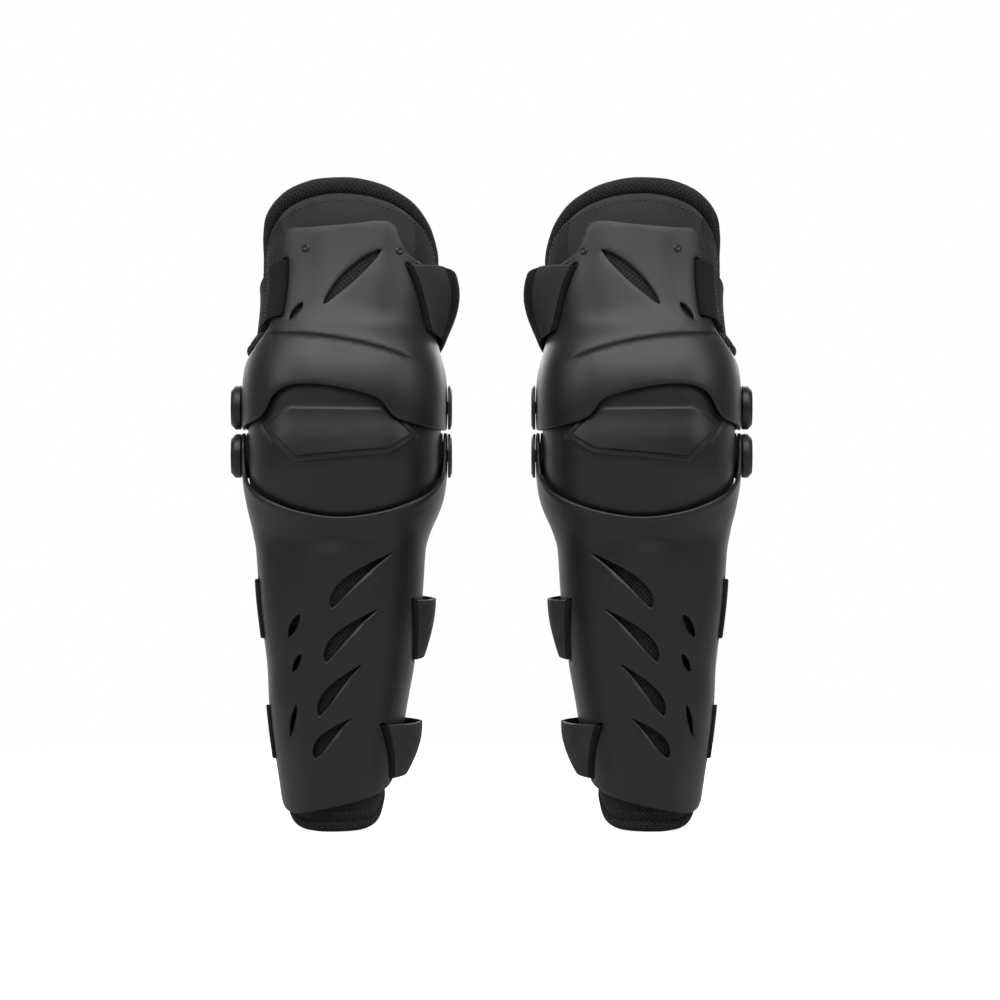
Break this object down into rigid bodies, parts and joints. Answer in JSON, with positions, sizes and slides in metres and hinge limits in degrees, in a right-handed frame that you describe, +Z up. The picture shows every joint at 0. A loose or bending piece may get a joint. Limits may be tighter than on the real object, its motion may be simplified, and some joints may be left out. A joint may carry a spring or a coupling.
{
  "type": "hinged knee guards",
  "caption": "Hinged knee and shin guards: moulded thigh shell, knee cup and shin shell that slide over each other on pivots, with vents, foam pads with rolled edges, and elastic straps.",
  "frame": {"origin": "midway between the knees, level with the middle between the hinge axes of a knee", "axes": "+Z up the shins, +Y to the back of the legs, +X to the wearer's left"},
  "size_m": [0.411, 0.1839, 0.5126],
  "materials": {
    "moulded_plastic": "black injection-moulded polypropylene with a fine satin grain",
    "foam_lining": "black knit over soft foam",
    "mesh_fabric": "black spacer mesh rolled over a foam core",
    "elastic_webbing": "black woven elastic webbing",
    "rubber_tab": "black moulded rubber pull tab over hook fastener",
    "dark_metal": "black-coated steel"
  },
  "bodies": {
    "shins": {"right_shin_shell": "moulded_plastic", "right_shin_pad": "foam_lining", "right_shin_pad_roll": "mesh_fabric", "right_upper_calf_strap": "elastic_webbing", "right_upper_calf_strap_end": "rubber_tab", "right_lower_calf_strap": "elastic_webbing", "right_lower_calf_strap_end": "rubber_tab", "right_outer_shin_pivot_cap": "moulded_plastic", "right_inner_shin_pivot_cap": "moulded_plastic", "left_shin_shell": "moulded_plastic", "left_shin_pad": "foam_lining", "left_shin_pad_roll": "mesh_fabric", "left_upper_calf_strap": "elastic_webbing", "left_upper_calf_strap_end": "rubber_tab", "left_lower_calf_strap": "elastic_webbing", "left_lower_calf_strap_end": "rubber_tab", "left_outer_shin_pivot_cap": "moulded_plastic", "left_inner_shin_pivot_cap": "moulded_plastic"},
    "right_knee": {"right_knee_cup": "moulded_plastic", "right_knee_pad": "foam_lining", "right_outer_thigh_pivot_rivet": "dark_metal", "right_outer_thigh_pivot_washer": "dark_metal", "right_outer_shin_pivot_rivet": "dark_metal", "right_outer_shin_pivot_washer": "dark_metal", "right_inner_thigh_pivot_rivet": "dark_metal", "right_inner_thigh_pivot_washer": "dark_metal", "right_inner_shin_pivot_rivet": "dark_metal", "right_inner_shin_pivot_washer": "dark_metal"},
    "right_thigh": {"right_thigh_shell": "moulded_plastic", "right_thigh_pad": "foam_lining", "right_thigh_pad_roll": "mesh_fabric", "right_thigh_strap": "elastic_webbing", "right_thigh_strap_end": "rubber_tab", "right_outer_thigh_pivot_cap": "moulded_plastic", "right_inner_thigh_pivot_cap": "moulded_plastic"},
    "left_knee": {"left_knee_cup": "moulded_plastic", "left_knee_pad": "foam_lining", "left_outer_thigh_pivot_rivet": "dark_metal", "left_outer_thigh_pivot_washer": "dark_metal", "left_outer_shin_pivot_rivet": "dark_metal", "left_outer_shin_pivot_washer": "dark_metal", "left_inner_thigh_pivot_rivet": "dark_metal", "left_inner_thigh_pivot_washer": "dark_metal", "left_inner_shin_pivot_rivet": "dark_metal", "left_inner_shin_pivot_washer": "dark_metal"},
    "left_thigh": {"left_thigh_shell": "moulded_plastic", "left_thigh_pad": "foam_lining", "left_thigh_pad_roll": "mesh_fabric", "left_thigh_strap": "elastic_webbing", "left_thigh_strap_end": "rubber_tab", "left_outer_thigh_pivot_cap": "moulded_plastic", "left_inner_thigh_pivot_cap": "moulded_plastic"}
  },
  "joints": [
    {"name": "right_lower_hinge", "type": "hinge", "parent": "shins", "child": "right_knee", "pos_m": [-0.116, 0, -0.019], "axis": [-1, 0, 0], "range_deg": [0, 22]},
    {"name": "right_upper_hinge", "type": "hinge", "parent": "right_knee", "child": "right_thigh", "pos_m": [-0.116, 0, 0.019], "axis": [-1, 0, 0], "range_deg": [0, 55]},
    {"name": "left_lower_hinge", "type": "hinge", "parent": "shins", "child": "left_knee", "pos_m": [0.116, 0, -0.019], "axis": [-1, 0, 0], "range_deg": [0, 22]},
    {"name": "left_upper_hinge", "type": "hinge", "parent": "left_knee", "child": "left_thigh", "pos_m": [0.116, 0, 0.019], "axis": [-1, 0, 0], "range_deg": [0, 55]}
  ]
}
